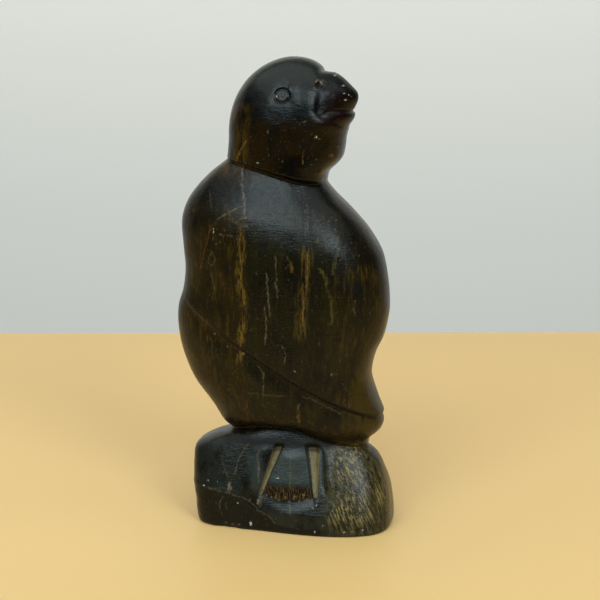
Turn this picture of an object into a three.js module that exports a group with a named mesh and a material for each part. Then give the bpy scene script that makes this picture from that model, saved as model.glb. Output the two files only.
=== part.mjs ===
// Soapstone bird carving: a standing bird with its head turned to +X, cut in one piece with its plinth.
// Millimetres. +X to the side the beak points to, -Y to the side with the feet, +Z up. It stands on z = 0.
import * as THREE from "three";
import { ParametricGeometry } from "three/addons/geometries/ParametricGeometry.js";

// Driving sizes, in millimetres.
const PLINTH_HEIGHT = 38.5;
const PLINTH_LEFT = 41.1;
const PLINTH_RIGHT = 46.4;
const PLINTH_NEAR = 23.1;
const PLINTH_NEAR_SKEW = 1.1;
const PLINTH_FAR = 22.5;
const PLINTH_EDGE = 1.2;
const PLINTH_EDGE_INSET = 0.8;
const FIGURE_HEIGHT = 161.8;

// The bird is drawn in hundredths of its own height, counted up from the plinth's top.
const UNIT = FIGURE_HEIGHT / 100;

// Waist between plinth and bird: how far its ends and front lie above its back, and its reach from the axis.
const WAIST = {
  riseLeft: 1.1, riseRight: -2.2, riseFront: 3.2, left: 15.3, right: 22, side: 7.6, squareness: 2.4,
};

// Plinth profiles above the bottom edge: [share of the height, share of the reach on that side].
const PLINTH_LEFT_FOOT = 0.93;
const PLINTH_LEFT_END = [
  [0.3, 0.966], [0.65, 1], [0.76, 1], [0.82, 0.97], [0.886, 0.87], [0.935, 0.762], [0.975, 0.645],
];
const PLINTH_RIGHT_END = [[0.23, 0.998], [0.46, 0.976], [0.71, 0.92], [0.886, 0.858]];
const PLINTH_FRONT_LEFT = [[0.286, 0.995], [0.416, 0.965], [0.675, 0.82], [0.909, 0.66]];
const PLINTH_FRONT_RIGHT = [[0.13, 0.987], [0.234, 0.95], [0.571, 0.75], [0.909, 0.56]];
const PLINTH_BACK = [[0.312, 0.991], [0.52, 0.935], [0.78, 0.8], [0.909, 0.69]];
// The front passes from its left to its right profile between these cosines.
const FRONT_TURN = [-0.85, 0.75];
// How square a plan is: 2 is an ellipse, larger is closer to a block.
const PLINTH_SQUARE_LEFT = [[0, 4.9], [0.5, 4.2], [0.8, 3], [1, WAIST.squareness]];
const PLINTH_SQUARE_RIGHT = [[0, 3.3], [0.5, 3], [0.8, 2.6], [1, WAIST.squareness]];

// Body profiles from the waist to the neck: [height, reach].
const BODY_SIDE = [
  [0, WAIST.side], [1.5, 11.2], [4, 13.1], [10.2, 14.8], [19.5, 15.8], [31.8, 16.2], [44.2, 16.2],
  [51.6, 15.8], [57.2, 14.6], [62.1, 12.6], [65.8, 11], [69.5, 9.5],
];
const BODY_LEFT = [
  [WAIST.riseLeft, WAIST.left], [3.4, 17.4], [8.3, 20.3], [14.5, 24.9], [20.7, 27.8], [25.6, 29.2],
  [30.6, 29.8], [34.9, 29.4], [39.2, 28.1], [44.2, 27.4], [50.4, 27.8], [57.2, 28.2], [62.1, 26.8],
  [66.4, 23.9], [70.1, 20.3], [73.5, 15.8],
];
const BODY_RIGHT = [
  [WAIST.riseRight, WAIST.right], [0, 22.6], [2.8, 25.6], [4.6, 26.6], [6.2, 26.4], [11.4, 24.2],
  [17, 22.6], [22.6, 23.5], [28.1, 25.8], [34.9, 27.1], [43, 26.6], [49.8, 25.1], [55.3, 21.8],
  [60.9, 16.9], [64.6, 13.1], [67.3, 10.8],
];
const BODY_SQUARE = [[0, WAIST.squareness], [0.3, 2.35], [0.7, 2.3], [1, 2.2]];

// Folded wing: its lower edge is a step that sweeps down from the left shoulder to the tail.
const WING = { middle: 21, fall: 0.61, bend: 0.0032, left: 27.8, right: 26, side: 15.8, squareness: 2.35 };
const WING_STEP = {
  depth: 0.8, tallLeft: 1.85, tallRight: 0.74, tallFrom: -18.5, tallTo: 6.2, runOut: 5.6, fadeFrom: -28.4,
  fadeTo: -13.6,
};

// Head: half an ellipsoid over an upright skull, on an axis of its own.
const HEAD = { x: 2.35, brow: 80.7, dome: 19.3, front: 14.3, back: 17.7, side: 12, squareness: 2.2 };
const CROWN = HEAD.brow + HEAD.dome;
const NAPE = { spread: 0.56, over: 7.2 };
const JAW = { middle: 71.1, fall: 0.24, bend: 0.0019, front: 8.3, undercut: 0.7 };
// The face is cut flat behind the beak, and the cut runs out below the mouth.
const FACE = { x: 9.5, full: 86.8, out: 80.5, runOut: 7.6, blend: 1.6, leastCosine: 0.05 };
// Throat and beak: [height, reach along +X], then the beak's [height, half width].
const BEAK_TOP = 97.2;
const BEAK_REACH = [
  [67.7, 10.2], [68.6, 10.3], [70.8, 11], [72.6, 12.9], [74.5, 14.4], [76.9, 15], [80, 15.4], [82.5, 16.1],
  [84.4, 17.3], [85.6, 17.6], [86.4, 17.2], [87.2, 17.6], [89.4, 18.5], [91.2, 18.2], [93, 16.5],
  [94.9, 14.4], [96.2, 12.3], [BEAK_TOP, 10],
];
const BEAK_WIDTH = [
  [82, 11.7], [84, 11.5], [86, 11.3], [88, 11], [90, 10.6], [93, 9.5], [95.5, 6.9], [BEAK_TOP, 3],
];
// The beak gets less square, and more blended into the skull, from its low to its high height.
const BEAK = { squareLow: 2.1, squareHigh: 1.6, low: 82, high: 90, blend: 1.2, blendCosine: 0.3 };

// Face details on both sides of the head: the eye's cut ring, the mouth line and the nostril.
const EYE = { x: 0.6, z: 90.6, ring: 1.8, cut: 0.46, depth: 0.4, ball: 0.19, ballSize: 1.1 };
const MOUTH = { from: 10.3, flat: 14, z: 86.6, drop: 2, cut: 0.4, depth: 0.32 };
const NOSTRIL = { x: 10.9, z: 93.4, cut: 0.8, depth: 0.49, off: 1.2 };

// Feet on the plinth's sloping front, in millimetres: a pair side by side between two cuts.
const FOOT = {
  below: 2.1, long: 21.2, middle: 5, left: 0.6, splayLeft: -0.37, right: 11.6, splayRight: 0.18,
};
const FOOT_CUT = {
  leftTop: 3.4, leftBottom: 2, rightTop: 4.2, rightBottom: 2.3, rampShare: 0.4, wall: 2.2, deepTop: 2,
  deepBottom: 1.3, fadeTop: 1.6, fadeBottom: 3,
};
const TOE_END = { bend: 0.022, tall: 1.1, depth: 0.7, runOut: 6, sideFade: 1 };
const TOE_CUT = { places: [-2.4, 0.9, 5.2, 8.8, 12.2], long: 6.4, fade: 3, halfWidth: 0.9, depth: 0.8 };
// A shallow cut with a ridge beside it, right of the feet.
const DRAG = { x: 16.9, splay: 0.145, halfWidth: 1.1, depth: 0.5, ridge: 0.3, ridgeOff: 2, fade: 3 };

// Where the surface is sampled: [degrees round the axis, steps from the last place].
const AROUND = [[-118, 0], [-50, 27], [-24, 4], [24, 11], [75, 7], [108, 12], [160, 6], [242, 9]];
const PLINTH_STEPS = { below: 2, toes: 8, aboveToes: 1.6, above: 6 };
const BODY_STEPS = { belowWing: 7, crowding: 1.25, aboveWing: 10 };
const JAW_STEPS = 4;
const FACE_LEVEL = 79.4;
// Shares of the height from the face's level up to the crown.
const HEAD_STEPS = [
  [0, 0], [0.21, 3], [0.39, 5], [0.45, 1], [0.645, 8], [0.825, 3], [0.93, 2], [0.985, 2], [1, 1],
];

const { lerp, clamp, degToRad } = THREE.MathUtils;

function ease(value, from, to) {
  return THREE.MathUtils.smoothstep(value, from, to);
}

function hump(value, halfWidth) {
  return Math.exp(-((value / halfWidth) ** 2));
}

// A smooth curve through [place, value] knots.
function through(knots) {
  const last = knots.length - 1;
  const span = (i) => knots[i + 1][0] - knots[i][0];
  const rise = (i) => (knots[i + 1][1] - knots[i][1]) / span(i);
  const slope = (i) => {
    if (i === 0) {
      return rise(0);
    }
    if (i === last) {
      return rise(last - 1);
    }
    return (rise(i - 1) * span(i) + rise(i) * span(i - 1)) / (span(i) + span(i - 1));
  };
  return (place) => {
    const at = clamp(place, knots[0][0], knots[last][0]);
    let i = 0;
    while (i < last - 1 && at >= knots[i + 1][0]) {
      i += 1;
    }
    const t = (at - knots[i][0]) / span(i);
    const low = knots[i][1] * (1 - t) ** 2 * (1 + 2 * t) + slope(i) * span(i) * t * (1 - t) ** 2;
    const high = knots[i + 1][1] * t ** 2 * (3 - 2 * t) - slope(i + 1) * span(i) * t ** 2 * (1 - t);
    return low + high;
  };
}

// The same curve, with its first knot at 0 and its last at 1.
function throughShares(knots) {
  const low = knots[0][0];
  const high = knots[knots.length - 1][0];
  return through(knots.map(([place, value]) => [(place - low) / (high - low), value]));
}

function smoothMax(a, b, soft) {
  return (a + b + Math.hypot(a - b, soft)) / 2;
}

function smoothMin(a, b, soft) {
  return (a + b - Math.hypot(a - b, soft)) / 2;
}

// Distance from the axis to a rounded block's outline, in the direction (c, s).
function plan(c, s, along, across, squareness) {
  return (Math.abs(c / along) ** squareness + Math.abs(s / across) ** squareness) ** (-1 / squareness);
}

function plinthProfile(shares, foot, reach, waistReach) {
  const edge = PLINTH_EDGE / PLINTH_HEIGHT;
  const wall = shares.map(([z, share]) => [z, share * reach]);
  const bottom = [[0, reach * foot - PLINTH_EDGE_INSET], [edge, reach * foot]];
  return through([...bottom, ...wall, [1, waistReach * UNIT]]);
}

const plinthEnds = {
  left: plinthProfile(PLINTH_LEFT_END, PLINTH_LEFT_FOOT, PLINTH_LEFT, WAIST.left),
  right: plinthProfile(PLINTH_RIGHT_END, 1, PLINTH_RIGHT, WAIST.right),
  nearLeft: plinthProfile(PLINTH_FRONT_LEFT, 1, PLINTH_NEAR - PLINTH_NEAR_SKEW, WAIST.side),
  nearRight: plinthProfile(PLINTH_FRONT_RIGHT, 1, PLINTH_NEAR + PLINTH_NEAR_SKEW, WAIST.side),
  far: plinthProfile(PLINTH_BACK, 1, PLINTH_FAR, WAIST.side),
};
const plinthSquareLeft = through(PLINTH_SQUARE_LEFT);
const plinthSquareRight = through(PLINTH_SQUARE_RIGHT);
const bodySide = throughShares(BODY_SIDE);
const bodyLeft = throughShares(BODY_LEFT);
const bodyRight = throughShares(BODY_RIGHT);
const bodySquare = through(BODY_SQUARE);
const beakReach = through(BEAK_REACH);
const beakWidth = through(BEAK_WIDTH);
const footTop = PLINTH_HEIGHT - FOOT.below;
const toeEnd = footTop - FOOT.long;

// Height of the waist over its back, in hundredths.
function waistRise(c, s) {
  const ends = (c > 0 ? WAIST.riseRight : WAIST.riseLeft) * c * c;
  return s < 0 ? ends + WAIST.riseFront * s * s * (1 + c * c) : ends;
}

// Relief round the feet at x and z of the plinth's front, negative where it is cut in.
function footRelief(x, z) {
  const down = footTop - z;
  const low = clamp(down / FOOT.long, 0, 1);
  const left = FOOT.left + FOOT.splayLeft * down;
  const right = FOOT.right + FOOT.splayRight * down;
  const depth = lerp(FOOT_CUT.deepTop, FOOT_CUT.deepBottom, low);
  const cutTop = 1 - ease(z, footTop, footTop + FOOT_CUT.fadeTop);
  const cutHeight = cutTop * ease(z, toeEnd, toeEnd + FOOT_CUT.fadeBottom);
  const acrossLeft = 1 + (x - left) / lerp(FOOT_CUT.leftTop, FOOT_CUT.leftBottom, low);
  const acrossRight = 1 - (x - right) / lerp(FOOT_CUT.rightTop, FOOT_CUT.rightBottom, low);
  let relief = 0;
  for (const across of [acrossLeft, acrossRight]) {
    const inCut = Math.min(across / FOOT_CUT.rampShare, 1 + (1 - across) * FOOT_CUT.wall);
    relief -= depth * cutHeight * clamp(inCut, 0, 1);
  }
  const past = toeEnd + TOE_END.bend * (x - FOOT.middle) ** 2 - z;
  const within = ease(x, left - TOE_END.sideFade, left) * (1 - ease(x, right, right + TOE_END.sideFade));
  const toeStep = ease(past, 0, TOE_END.tall) * (1 - ease(past, TOE_END.tall, TOE_END.runOut));
  relief -= TOE_END.depth * within * toeStep;
  const toeLength = ease(toeEnd + TOE_CUT.long - z, 0, TOE_CUT.fade) * (1 - ease(past, 0, TOE_END.tall));
  for (const place of TOE_CUT.places) {
    relief -= TOE_CUT.depth * hump(x - place, TOE_CUT.halfWidth) * toeLength;
  }
  const drag = x - DRAG.x - DRAG.splay * down;
  const dragTop = 1 - ease(z, footTop - DRAG.fade, footTop);
  const dragLength = dragTop * ease(z, toeEnd + DRAG.fade, toeEnd + 2 * DRAG.fade);
  relief -= DRAG.depth * hump(drag, DRAG.halfWidth) * dragLength;
  return relief + DRAG.ridge * hump(drag - DRAG.ridgeOff, DRAG.halfWidth) * dragLength;
}

// A point of the plinth's side at share t of its height, as [reach, height] in millimetres.
function plinthPoint(c, s, t) {
  const along = (c > 0 ? plinthEnds.right : plinthEnds.left)(t);
  const near = lerp(plinthEnds.nearLeft(t), plinthEnds.nearRight(t), ease(c, ...FRONT_TURN));
  const across = s > 0 ? plinthEnds.far(t) : near;
  const reach = plan(c, s, along, across, (c > 0 ? plinthSquareRight : plinthSquareLeft)(t));
  const z = (PLINTH_HEIGHT + waistRise(c, s) * UNIT) * t;
  return [reach + (s < 0 ? footRelief(reach * c, z) : 0), z];
}

// Where the wing's edge passes in the direction (c, s): its x and height.
function wingEdge(c, s) {
  const x = c * plan(c, s, c > 0 ? WING.right : WING.left, WING.side, WING.squareness);
  return { x, z: WING.middle - WING.fall * x + WING.bend * x * x };
}

function wingStepTall(x) {
  return lerp(WING_STEP.tallLeft, WING_STEP.tallRight, ease(x, WING_STEP.tallFrom, WING_STEP.tallTo));
}

function jawHeight(c, s) {
  const x = HEAD.x + c * plan(c, s, c > 0 ? JAW.front : HEAD.back + NAPE.spread, HEAD.side, HEAD.squareness);
  return JAW.middle - JAW.fall * x - JAW.bend * x * x;
}

function neckHeight(c, s) {
  return jawHeight(c, s) - JAW.undercut;
}

// A point of the body at share t of the way from waist to neck, in hundredths.
function bodyPoint(c, s, t) {
  const reach = plan(c, s, (c > 0 ? bodyRight : bodyLeft)(t), bodySide(t), bodySquare(t));
  const z = lerp(waistRise(c, s), neckHeight(c, s), t);
  const edge = wingEdge(c, s);
  const below = edge.z - z;
  const tall = wingStepTall(edge.x);
  const step = ease(below, 0, tall) * (1 - ease(below, tall, tall + WING_STEP.runOut));
  return [reach - WING_STEP.depth * step * ease(edge.x, WING_STEP.fadeFrom, WING_STEP.fadeTo), z];
}

// Relief of the eye, mouth and nostril at a point of the head, in hundredths.
function faceRelief(x, y, z) {
  const fromEye = Math.hypot(x - EYE.x, z - EYE.z);
  const mouth = MOUTH.z - MOUTH.drop * (Math.min(x - MOUTH.flat, 0) / (MOUTH.flat - MOUTH.from)) ** 2;
  const mouthLength = ease(x, MOUTH.from - MOUTH.cut, MOUTH.from + MOUTH.cut);
  const fromNostril = Math.hypot(x - NOSTRIL.x, z - NOSTRIL.z);
  let relief = EYE.ball * hump(fromEye, EYE.ballSize) - EYE.depth * hump(fromEye - EYE.ring, EYE.cut);
  relief -= MOUTH.depth * hump(z - mouth, MOUTH.cut) * mouthLength;
  relief -= NOSTRIL.depth * hump(fromNostril, NOSTRIL.cut) * ease(Math.abs(y), NOSTRIL.off, 2 * NOSTRIL.off);
  return relief;
}

// A point of the head at height z, in hundredths, with its reach counted from the head's own axis.
function headPoint(c, s, z) {
  const up = clamp((z - HEAD.brow) / (CROWN - HEAD.brow), 0, 1);
  const dome = Math.sqrt(1 - up * up);
  if (dome === 0) {
    return [0, z];
  }
  const down = Math.max((HEAD.brow - z) / NAPE.over, 0);
  const cutShare = ease(z, FACE.out, FACE.full);
  const front = lerp(beakReach(z) - HEAD.x, HEAD.front * dome, cutShare);
  const back = (HEAD.back + NAPE.spread * Math.min(down * down, 1)) * dome;
  let skull = plan(c, s, c > 0 ? front : back, HEAD.side * dome, HEAD.squareness);
  if (c > FACE.leastCosine) {
    const face = FACE.x - HEAD.x + FACE.runOut * (1 - cutShare);
    skull = smoothMin(skull, face / c, FACE.blend * dome * cutShare);
  }
  const share = ease(z, BEAK.low, BEAK.high);
  const square = lerp(BEAK.squareLow, BEAK.squareHigh, share);
  const beak = c > 0 ? plan(c, s, beakReach(z) - HEAD.x, beakWidth(z), square) : 0;
  const soft = BEAK.blend * dome * ease(c, 0, BEAK.blendCosine) * share;
  const reach = smoothMax(skull, beak * ease(BEAK_TOP - z, 0, BEAK.blend), soft);
  return [reach + dome * faceRelief(HEAD.x + reach * c, reach * s, z), z];
}

// Places along a run of [end, steps] spans.
function places(spans) {
  const out = [spans[0][0]];
  for (let i = 1; i < spans.length; i += 1) {
    const [end, steps] = spans[i];
    for (let k = 1; k <= steps; k += 1) {
      out.push(lerp(spans[i - 1][0], end, k / steps));
    }
  }
  return out;
}

// Each row gives, for a direction, [reach from its axis, height, the axis's x] in millimetres.
function surfaceRows() {
  const rows = [() => [0, 0, 0]];
  const plinthSpans = [
    [0, 0], [PLINTH_EDGE, 1], [toeEnd - TOE_END.runOut, PLINTH_STEPS.below],
    [toeEnd + TOE_CUT.long + PLINTH_STEPS.aboveToes, PLINTH_STEPS.toes], [PLINTH_HEIGHT, PLINTH_STEPS.above],
  ];
  for (const z of places(plinthSpans)) {
    rows.push((c, s) => [...plinthPoint(c, s, z / PLINTH_HEIGHT), 0]);
  }
  const figureRow = (point, axis) => {
    rows.push((c, s) => {
      const [reach, z] = point(c, s);
      return [reach * UNIT, PLINTH_HEIGHT + z * UNIT, axis * UNIT];
    });
  };
  const shareAt = (c, s, z) => (z - waistRise(c, s)) / (neckHeight(c, s) - waistRise(c, s));
  for (let k = 1; k <= BODY_STEPS.belowWing; k += 1) {
    figureRow((c, s) => {
      const edge = wingEdge(c, s);
      const underStep = shareAt(c, s, edge.z - wingStepTall(edge.x));
      return bodyPoint(c, s, underStep * (k / BODY_STEPS.belowWing) ** BODY_STEPS.crowding);
    }, 0);
  }
  for (let k = 0; k <= BODY_STEPS.aboveWing; k += 1) {
    figureRow((c, s) => {
      const overStep = shareAt(c, s, wingEdge(c, s).z);
      return bodyPoint(c, s, lerp(overStep, 1, k / BODY_STEPS.aboveWing));
    }, 0);
  }
  for (let k = 0; k < JAW_STEPS; k += 1) {
    figureRow((c, s) => headPoint(c, s, lerp(jawHeight(c, s), FACE_LEVEL, k / JAW_STEPS)), HEAD.x);
  }
  for (const share of places(HEAD_STEPS)) {
    figureRow((c, s) => headPoint(c, s, lerp(FACE_LEVEL, CROWN, share)), HEAD.x);
  }
  return rows;
}

function carvingGeometry() {
  const directions = places(AROUND);
  const columns = directions.length - 1;
  const rows = surfaceRows();
  const storeys = rows.length - 1;
  const surface = (u, v, target) => {
    const angle = degToRad(directions[Math.round(u * columns) % columns]);
    const c = Math.cos(angle);
    const s = Math.sin(angle);
    const [reach, z, axis] = rows[Math.round(v * storeys)](c, s);
    target.set(axis + reach * c, reach * s, z);
  };
  const geometry = new ParametricGeometry(surface, columns, storeys);
  geometry.computeBoundingBox();
  const middle = geometry.boundingBox.getCenter(new THREE.Vector3());
  geometry.translate(-middle.x, -middle.y, 0);
  geometry.computeVertexNormals();
  return geometry;
}

const soapstone = new THREE.MeshStandardMaterial({ name: "soapstone", color: 0x3b3a32, roughness: 0.4 });
const carving = new THREE.Mesh(carvingGeometry(), soapstone);
carving.name = "bird_carving";

const group = new THREE.Group();
group.name = "soapstone_bird";
group.add(carving);

export default group;
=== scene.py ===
"""Looks of the soapstone bird carving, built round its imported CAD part."""

import math

import bpy
import numpy as np
from mathutils import Matrix, Vector


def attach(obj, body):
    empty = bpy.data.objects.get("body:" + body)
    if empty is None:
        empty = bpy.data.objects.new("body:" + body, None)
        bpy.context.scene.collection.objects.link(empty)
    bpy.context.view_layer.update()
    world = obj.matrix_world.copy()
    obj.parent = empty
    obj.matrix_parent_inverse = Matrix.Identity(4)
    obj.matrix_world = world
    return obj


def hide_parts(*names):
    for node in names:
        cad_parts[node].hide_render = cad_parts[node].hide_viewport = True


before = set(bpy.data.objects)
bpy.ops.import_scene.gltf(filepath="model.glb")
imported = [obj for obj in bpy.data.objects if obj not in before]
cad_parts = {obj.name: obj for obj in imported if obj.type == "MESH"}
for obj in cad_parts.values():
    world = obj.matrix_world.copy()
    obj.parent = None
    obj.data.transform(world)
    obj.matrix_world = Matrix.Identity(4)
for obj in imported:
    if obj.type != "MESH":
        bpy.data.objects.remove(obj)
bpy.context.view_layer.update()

# Shape, in millimetres, with the figure in hundredths of its own height as in the CAD part.
PLINTH_HEIGHT = 38.5
PLINTH_EDGE = 1.2
PLINTH_EDGE_INSET = 0.8
UNIT = 1.618
CROWN = 100
WAIST_LEFT, WAIST_RIGHT, WAIST_SIDE, WAIST_SQUARE = 15.3, 22, 7.6, 2.4
WAIST_RISE_LEFT, WAIST_RISE_RIGHT, WAIST_RISE_FRONT = 1.1, -2.2, 3.2
HEAD_X, BROW = 2.35, 80.7
HEAD_FRONT, HEAD_BACK, HEAD_SIDE, HEAD_SQUARE = 14.3, 17.7, 12, 2.2
NAPE_SPREAD, NAPE_OVER = 0.56, 7.2
JAW_MIDDLE, JAW_FALL, JAW_BEND, JAW_FRONT, JAW_UNDERCUT = 71.1, 0.24, 0.0019, 8.3, 0.7
FACE_X, FACE_FULL, FACE_OUT, FACE_RUN_OUT, FACE_BLEND, LEAST_COSINE = 9.5, 86.8, 80.5, 7.6, 1.6, 0.05
WING_MIDDLE, WING_FALL, WING_BEND = 21, 0.61, 0.0032
WING_LEFT, WING_RIGHT, WING_SIDE, WING_SQUARE = 27.8, 26, 15.8, 2.35
WING_DEPTH, WING_TALL_LEFT, WING_TALL_RIGHT, WING_RUN_OUT = 0.8, 1.85, 0.74, 5.6
BEAK_TOP, BEAK_LOW, BEAK_HIGH, BEAK_BLEND, BLEND_COSINE = 97.2, 82, 90, 1.2, 0.3
BEAK_SQUARE_LOW, BEAK_SQUARE_HIGH = 2.1, 1.6
LEVEL = 79.4
ROWS_PLINTH, ROWS_UNDER_WING, ROWS_STEP, ROWS_OVER_WING, ROWS_JAW = 84, 44, 7, 66, 26
ROWS_FACE, ROWS_EYE, ROWS_DOME = 26, 36, 24
EYE_ROWS_FROM, DOME_ROWS_FROM = 87, 94.6
NOISE_CELLS = 24
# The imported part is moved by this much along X, so that its box is centred.
CENTRING = 0.67
MM = 1000.0


def ease(value, start, end):
    t = np.clip((value - start) / (end - start), 0, 1)
    return t * t * (3 - 2 * t)


def hump(value, half_width):
    return np.exp(-((value / half_width) ** 2))


def lerp(a, b, t):
    return a + (b - a) * t


def through(knots):
    """A smooth curve through (place, value) knots."""
    place, value = np.array(knots, float).T
    span = np.diff(place)
    rise = np.diff(value) / span
    slope = np.concatenate([rise[:1], np.zeros(len(rise) - 1), rise[-1:]])
    slope[1:-1] = (rise[:-1] * span[:-1] + rise[1:] * span[1:]) / (span[:-1] + span[1:])

    def curve(at):
        at = np.clip(at, place[0], place[-1])
        i = np.clip(np.searchsorted(place, at, side="right") - 1, 0, len(span) - 1)
        t = (at - place[i]) / span[i]
        low = value[i] * (1 - t) ** 2 * (1 + 2 * t) + slope[i] * span[i] * t * (1 - t) ** 2
        high = value[i + 1] * t**2 * (3 - 2 * t) - slope[i + 1] * span[i] * t**2 * (1 - t)
        return low + high

    return curve


def through_shares(knots):
    low, high = knots[0][0], knots[-1][0]
    return through([((place - low) / (high - low), value) for place, value in knots])


def plan(c, s, along, across, squareness):
    reach = np.abs(c / along) ** squareness + np.abs(s / across) ** squareness
    return reach ** (-1 / squareness)


def smooth_max(a, b, soft):
    return (a + b + np.hypot(a - b, soft)) / 2


def smooth_min(a, b, soft):
    return (a + b - np.hypot(a - b, soft)) / 2


def noise(points, size, seed):
    """Smooth noise from -1 to 1 with lumps about one size across."""
    lattice = np.random.default_rng(seed).uniform(-1, 1, (NOISE_CELLS,) * 3)
    at = points / size
    cell = np.floor(at).astype(int)
    part = at - cell
    part = part * part * (3 - 2 * part)
    total = 0
    for corner in np.ndindex(2, 2, 2):
        weight = np.prod(np.where(corner, part, 1 - part), axis=-1)
        index = (cell + corner) % NOISE_CELLS
        total = total + weight * lattice[index[..., 0], index[..., 1], index[..., 2]]
    return total


def plinth_profile(shares, foot, reach, waist_reach):
    edge = PLINTH_EDGE / PLINTH_HEIGHT
    bottom = [(0, reach * foot - PLINTH_EDGE_INSET), (edge, reach * foot)]
    return through([*bottom, *[(z, share * reach) for z, share in shares], (1, waist_reach * UNIT)])


plinth_left = plinth_profile(
    [(0.3, 0.966), (0.65, 1), (0.76, 1), (0.82, 0.97), (0.886, 0.87), (0.935, 0.762), (0.975, 0.645)],
    0.93, 41.1, WAIST_LEFT,
)
plinth_right = plinth_profile(
    [(0.23, 0.998), (0.46, 0.976), (0.71, 0.92), (0.886, 0.858)], 1, 46.4, WAIST_RIGHT,
)
near_left = plinth_profile([(0.286, 0.995), (0.416, 0.965), (0.675, 0.82), (0.909, 0.66)], 1, 22, WAIST_SIDE)
near_right = plinth_profile([(0.13, 0.987), (0.234, 0.95), (0.571, 0.75), (0.909, 0.56)], 1, 24.2, WAIST_SIDE)
plinth_far = plinth_profile([(0.312, 0.991), (0.52, 0.935), (0.78, 0.8), (0.909, 0.69)], 1, 22.5, WAIST_SIDE)
square_left = through([(0, 4.9), (0.5, 4.2), (0.8, 3), (1, WAIST_SQUARE)])
square_right = through([(0, 3.3), (0.5, 3), (0.8, 2.6), (1, WAIST_SQUARE)])
body_side = through_shares([
    (0, WAIST_SIDE), (1.5, 11.2), (4, 13.1), (10.2, 14.8), (19.5, 15.8), (31.8, 16.2), (44.2, 16.2),
    (51.6, 15.8), (57.2, 14.6), (62.1, 12.6), (65.8, 11), (69.5, 9.5),
])
body_left = through_shares([
    (WAIST_RISE_LEFT, WAIST_LEFT), (3.4, 17.4), (8.3, 20.3), (14.5, 24.9), (20.7, 27.8), (25.6, 29.2),
    (30.6, 29.8), (34.9, 29.4), (39.2, 28.1), (44.2, 27.4), (50.4, 27.8), (57.2, 28.2), (62.1, 26.8),
    (66.4, 23.9), (70.1, 20.3), (73.5, 15.8),
])
body_right = through_shares([
    (WAIST_RISE_RIGHT, WAIST_RIGHT), (0, 22.6), (2.8, 25.6), (4.6, 26.6), (6.2, 26.4), (11.4, 24.2),
    (17, 22.6), (22.6, 23.5), (28.1, 25.8), (34.9, 27.1), (43, 26.6), (49.8, 25.1), (55.3, 21.8),
    (60.9, 16.9), (64.6, 13.1), (67.3, 10.8),
])
body_square = through([(0, WAIST_SQUARE), (0.3, 2.35), (0.7, 2.3), (1, 2.2)])
beak_reach = through([
    (67.7, 10.2), (68.6, 10.3), (70.8, 11), (72.6, 12.9), (74.5, 14.4), (76.9, 15), (80, 15.4), (82.5, 16.1),
    (84.4, 17.3), (85.6, 17.6), (86.4, 17.2), (87.2, 17.6), (89.4, 18.5), (91.2, 18.2), (93, 16.5),
    (94.9, 14.4), (96.2, 12.3), (BEAK_TOP, 10),
])
beak_width = through([
    (82, 11.7), (84, 11.5), (86, 11.3), (88, 11), (90, 10.6), (93, 9.5), (95.5, 6.9), (BEAK_TOP, 3),
])


def waist_rise(c, s):
    ends = np.where(c > 0, WAIST_RISE_RIGHT, WAIST_RISE_LEFT) * c * c
    return ends + WAIST_RISE_FRONT * np.minimum(s, 0) ** 2 * (1 + c * c)


def plinth_surface(c, s, t):
    along = np.where(c > 0, plinth_right(t), plinth_left(t))
    near = lerp(near_left(t), near_right(t), ease(c, -0.85, 0.75))
    across = np.where(s > 0, plinth_far(t), near)
    reach = plan(c, s, along, across, np.where(c > 0, square_right(t), square_left(t)))
    return reach, (PLINTH_HEIGHT + waist_rise(c, s) * UNIT) * t


def wing_edge(c, s):
    x = c * plan(c, s, np.where(c > 0, WING_RIGHT, WING_LEFT), WING_SIDE, WING_SQUARE)
    return x, WING_MIDDLE - WING_FALL * x + WING_BEND * x * x


def wing_tall(x):
    return lerp(WING_TALL_LEFT, WING_TALL_RIGHT, ease(x, -18.5, 6.2))


def jaw_height(c, s):
    back = HEAD_BACK + NAPE_SPREAD
    x = HEAD_X + c * plan(c, s, np.where(c > 0, JAW_FRONT, back), HEAD_SIDE, HEAD_SQUARE)
    return JAW_MIDDLE - JAW_FALL * x - JAW_BEND * x * x


def body_surface(c, s, t):
    reach = plan(c, s, np.where(c > 0, body_right(t), body_left(t)), body_side(t), body_square(t))
    z = lerp(waist_rise(c, s), jaw_height(c, s) - JAW_UNDERCUT, t)
    x, edge = wing_edge(c, s)
    below, tall = edge - z, wing_tall(x)
    step = ease(below, 0, tall) * (1 - ease(below, tall, tall + WING_RUN_OUT))
    return (reach - WING_DEPTH * step * ease(x, -28.4, -13.6)) * UNIT, PLINTH_HEIGHT + z * UNIT


def head_surface(c, s, z):
    up = np.clip((z - BROW) / (CROWN - BROW), 0, 1)
    dome = np.sqrt(np.maximum(1 - up * up, 1e-6))
    down = np.maximum((BROW - z) / NAPE_OVER, 0)
    cut_share = ease(z, FACE_OUT, FACE_FULL)
    in_front = lerp(beak_reach(z) - HEAD_X, HEAD_FRONT * dome, cut_share)
    behind = (HEAD_BACK + NAPE_SPREAD * np.minimum(down * down, 1)) * dome
    skull = plan(c, s, np.where(c > 0, in_front, behind), HEAD_SIDE * dome, HEAD_SQUARE)
    face = FACE_X - HEAD_X + FACE_RUN_OUT * (1 - cut_share)
    cut = smooth_min(skull, face / np.maximum(c, LEAST_COSINE), FACE_BLEND * dome * cut_share)
    skull = np.where(c > LEAST_COSINE, cut, skull)
    share = ease(z, BEAK_LOW, BEAK_HIGH)
    square = lerp(BEAK_SQUARE_LOW, BEAK_SQUARE_HIGH, share)
    beak = plan(c, s, beak_reach(z) - HEAD_X, beak_width(z), square) * ease(BEAK_TOP - z, 0, BEAK_BLEND)
    soft = BEAK_BLEND * dome * ease(c, 0, BLEND_COSINE) * share
    reach = smooth_max(skull, np.where(c > 0, beak, 0), soft)
    return reach * UNIT, PLINTH_HEIGHT + z * UNIT


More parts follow.
